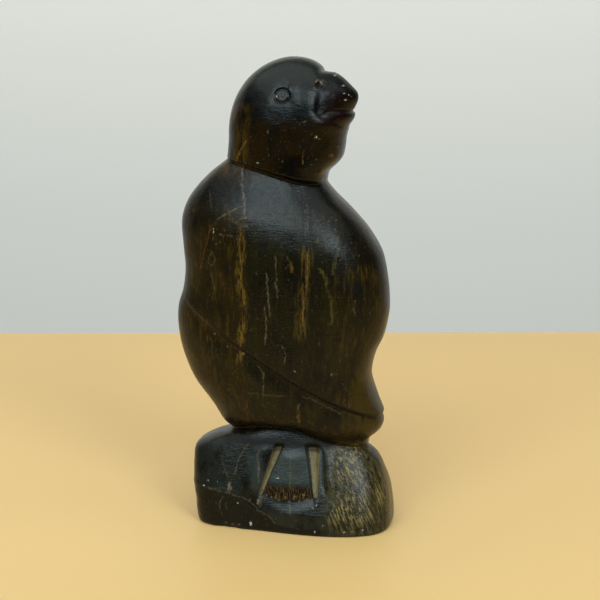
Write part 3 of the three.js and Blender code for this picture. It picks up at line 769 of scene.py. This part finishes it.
    broken = fade(cloud(where, 1.1, 2.0, 0.6, (1, 1, 2.2)), 0.38, 0.60) * 0.8 + 0.2
    nudge = (cloud(where, 0.9, 2.0) - 0.5) * 2.4
    shiver = (cloud(where, 2.4, 2.0) - 0.5) * 2.2
    line_x, line_z = x + wander * 0.3 + shiver, z + wander_up * 0.3 + shiver
    speck_x, speck_z = x + nudge, z + (fine - 0.5) * 2.4
    colour = marks(colour, line_x, line_z, speck_x, speck_z, broken, front)
    dust = fade(cloud(where, 0.8, 1.0, 0.5, (1, 1, 1.4)), 0.69, 0.77) * 0.4
    colour = blend(dust, colour, (0.10, 0.085, 0.05))
    plug(shader.inputs["Base Color"], colour)

    # Polish: uneven over the whole stone, and duller where it is worn, cut or shaded below the belly.
    polish = fade(cloud(where, 12.0, 4.0, 0.6), 0.35, 0.7)
    dull = greatest([cuts * in_front, worn * 0.2, shaded])
    plug(shader.inputs["Roughness"], polish * -0.06 + 0.23 + fine * 0.08 + dull * 0.3)
    shader.inputs["IOR"].default_value = 1.5
    shader.inputs["Specular IOR Level"].default_value = 0.19

    bump = tree.nodes.new("ShaderNodeBump")
    bump.inputs["Strength"].default_value = 0.45
    bump.inputs["Distance"].default_value = 0.0003
    strokes = cloud(where, 1.0, 3.0, 0.65, (3.2, 3.2, 0.6))
    plug(bump.inputs["Height"], strokes * 0.9 + cloud(where, 4.0, 3.0) * 1.0)
    tree.links.new(bump.outputs[0], shader.inputs["Normal"])
    return material


mesh.materials.append(stone_material())
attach(bird, "root")
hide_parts("bird_carving")


def plain_material(name, colour, roughness, specular):
    material = bpy.data.materials.new(name)
    material.use_nodes = True
    shader = material.node_tree.nodes["Principled BSDF"]
    shader.inputs["Base Color"].default_value = (*colour, 1)
    shader.inputs["Roughness"].default_value = roughness
    shader.inputs["Specular IOR Level"].default_value = specular
    return material


def stage_plane(name, corners, material):
    plane = bpy.data.meshes.new(name)
    plane.from_pydata(corners, [], [(0, 1, 2, 3)])
    plane.materials.append(material)
    thing = bpy.data.objects.new(name, plane)
    bpy.context.scene.collection.objects.link(thing)


# Camera and stage, in metres. The table ends behind the bird, and the wall stands well back from it.
AZIMUTH = math.radians(12.5)
PITCH = math.radians(11.7)
CAMERA_REACH, CAMERA_HEIGHT, CAMERA_LENS, SENSOR = 0.547, 0.2105, 78.0, 36.0
# The bird stands this many pixels off the middle of the photo.
PHOTO_WIDTH, OFF_MIDDLE = 600, 13
YAW = math.atan(OFF_MIDDLE / (PHOTO_WIDTH * CAMERA_LENS / SENSOR))
REAR_EDGE, FRONT_EDGE, TABLE_HALF = 0.354, -0.34, 1.2
WALL_BEHIND, WALL_HALF, WALL_LOW, WALL_HIGH = 1.1, 3, -1, 2
toward = Vector((-math.sin(AZIMUTH), math.cos(AZIMUTH), 0))
sideways = Vector((math.cos(AZIMUTH), math.sin(AZIMUTH), 0))
camera_place = Vector((0.0004, 0, CAMERA_HEIGHT)) - toward * CAMERA_REACH
flat = toward * math.cos(YAW) + sideways * math.sin(YAW)
right = sideways * math.cos(YAW) - toward * math.sin(YAW)
look = flat * math.cos(PITCH) - Vector((0, 0, math.sin(PITCH)))
camera = bpy.data.objects.new("camera", bpy.data.cameras.new("camera"))
camera.data.lens = CAMERA_LENS
camera.data.sensor_width = SENSOR
camera.data.clip_start = 0.01
camera.location = camera_place
camera.rotation_mode = "QUATERNION"
camera.rotation_quaternion = Matrix((right, right.cross(look), -look)).transposed().to_quaternion()
bpy.context.scene.collection.objects.link(camera)
bpy.context.scene.camera = camera


def stage_point(across, along, up):
    return sideways * across + toward * along + Vector((0, 0, up))


floor = plain_material("floor", (0.73, 0.465, 0.185), 0.5, 0.25)
wall = plain_material("wall", (0.68, 0.64, 0.585), 0.8, 0.2)
wall.node_tree.nodes["Principled BSDF"].inputs["Emission Color"].default_value = (1, 0.99, 0.92, 1)
wall.node_tree.nodes["Principled BSDF"].inputs["Emission Strength"].default_value = 0.13
table = [(-TABLE_HALF, FRONT_EDGE), (TABLE_HALF, FRONT_EDGE), (TABLE_HALF, REAR_EDGE), (-TABLE_HALF, REAR_EDGE)]
stage_plane("floor", [stage_point(*corner, 0) for corner in table], floor)
corners = ((-WALL_HALF, WALL_LOW), (WALL_HALF, WALL_LOW), (WALL_HALF, WALL_HIGH), (-WALL_HALF, WALL_HIGH))
stage_plane("wall", [stage_point(across, WALL_BEHIND, up) for across, up in corners], wall)


def area_light(name, place, target, size, power, colour):
    data = bpy.data.lights.new(name, "AREA")
    data.shape = "RECTANGLE"
    data.size, data.size_y = size
    data.energy = power
    data.color = colour
    light = bpy.data.objects.new(name, data)
    light.location = place
    light.rotation_mode = "QUATERNION"
    light.rotation_quaternion = (Vector(target) - Vector(place)).to_track_quat("-Z", "Y")
    bpy.context.scene.collection.objects.link(light)


area_light("ceiling", (-0.1, -0.9, 1.8), (-0.1, -0.9, 0), (4.0, 2.6), 47, (0.90, 0.98, 1.0))
area_light("window", (-0.25, -1.65, 1.40), (0, 0, 0.15), (1.5, 0.8), 26, (0.75, 0.94, 1.0))
area_light("front_right", (1.4, -1.5, 1.3), (0, 0, 0.15), (0.8, 0.5), 22, (0.80, 0.95, 1.0))
area_light("wall_wash", (0, 0.45, 0.9), (0, WALL_BEHIND, 0.83), (3.0, 0.4), 8, (1.0, 0.99, 0.96))

world = bpy.data.worlds.new("room")
bpy.context.scene.world = world
world.use_nodes = True
background = world.node_tree.nodes["Background"]
background.inputs["Color"].default_value = (0.9, 0.96, 1, 1)
background.inputs["Strength"].default_value = 0.045
bpy.context.scene.view_settings.view_transform = "Standard"
